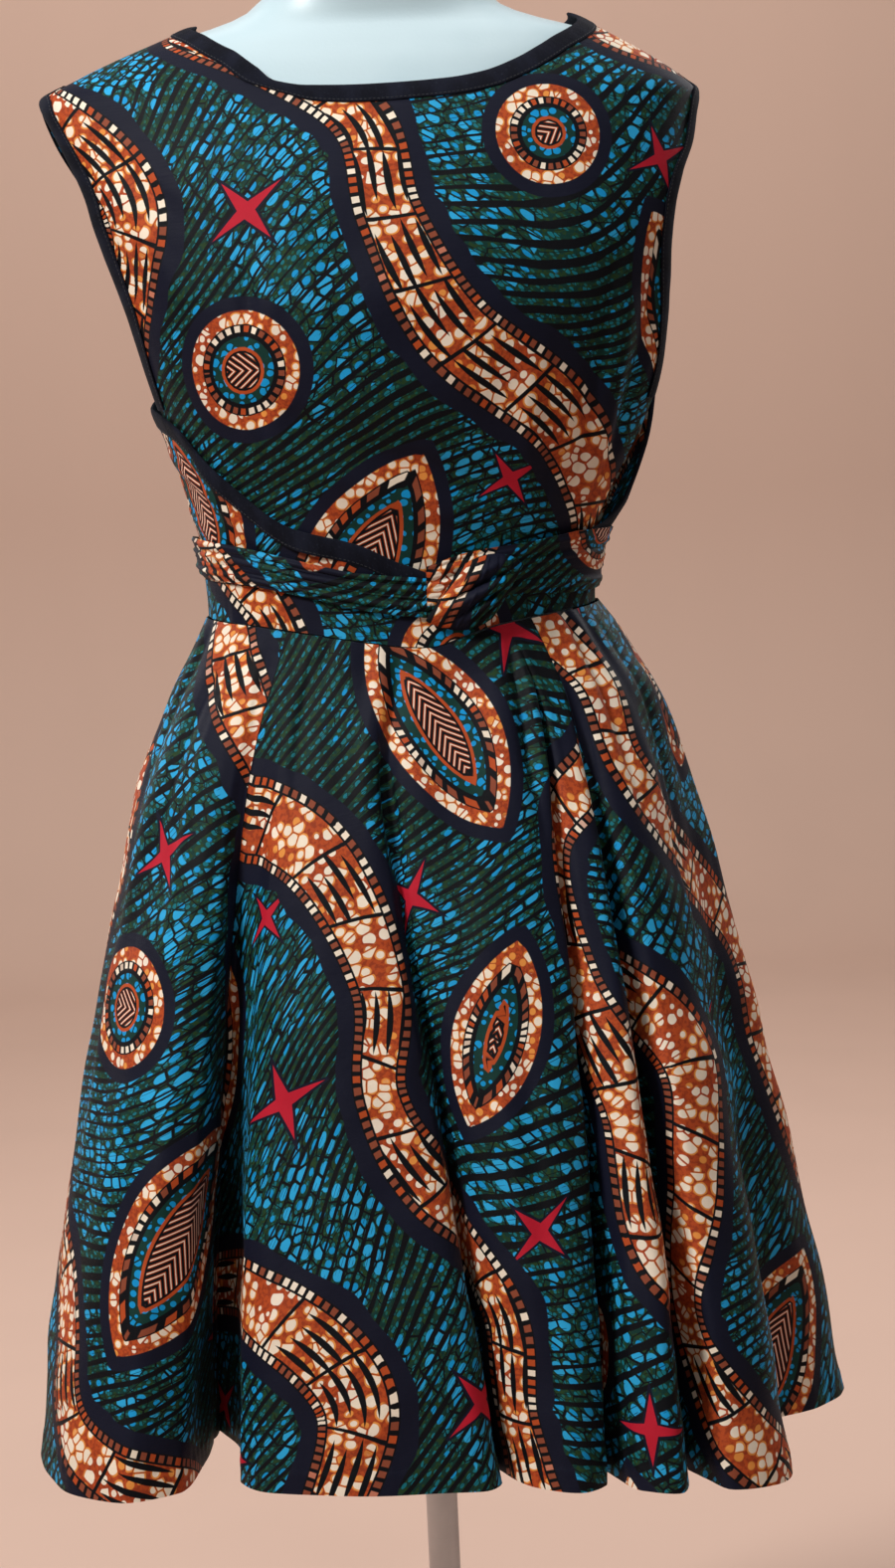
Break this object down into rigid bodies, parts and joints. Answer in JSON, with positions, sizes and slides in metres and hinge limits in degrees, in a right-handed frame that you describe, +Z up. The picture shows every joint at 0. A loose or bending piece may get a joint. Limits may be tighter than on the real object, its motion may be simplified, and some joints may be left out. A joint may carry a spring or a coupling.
{
  "type": "wax print dress on a dress form",
  "caption": "Sleeveless knee-length dress with a boat neck, wrapped and sashed waist and flared folded skirt, worn by a limbless dress form on a pole with a round base.",
  "frame": {"origin": "on the floor, at the centre of the flat underside of the stand's round base", "axes": "+Z up along the pole, -Y the way the dress faces, +X to the right as seen from the front"},
  "size_m": [0.6083, 0.5483, 1.55],
  "materials": {
    "wax_print_cotton": "printed plain-weave cotton with a slight wax sheen, in blue, green, navy, rust, cream and red",
    "bias_binding": "plain black cotton bias tape, topstitched",
    "form_shell": "smooth pale blue-white moulded shell",
    "stand_metal": "satin steel"
  },
  "bodies": {
    "root": {"back_bodice": "wax_print_cotton", "front_bodice": "wax_print_cotton", "sash_knot": "wax_print_cotton", "sash_left": "wax_print_cotton", "sash_right": "wax_print_cotton", "skirt_back_left": "wax_print_cotton", "skirt_back_right": "wax_print_cotton", "skirt_front": "wax_print_cotton", "skirt_side_left": "wax_print_cotton", "skirt_side_right": "wax_print_cotton", "waistband": "wax_print_cotton", "wrap_left": "wax_print_cotton", "wrap_right": "wax_print_cotton", "armhole_binding_back_left": "bias_binding", "armhole_binding_back_right": "bias_binding", "armhole_binding_front_left": "bias_binding", "armhole_binding_front_right": "bias_binding", "neck_binding_back": "bias_binding", "neck_binding_front": "bias_binding", "wrap_binding_left": "bias_binding", "wrap_binding_right": "bias_binding", "dress_form": "form_shell", "stand_pole": "stand_metal", "stand_base": "stand_metal"}
  },
  "joints": []
}
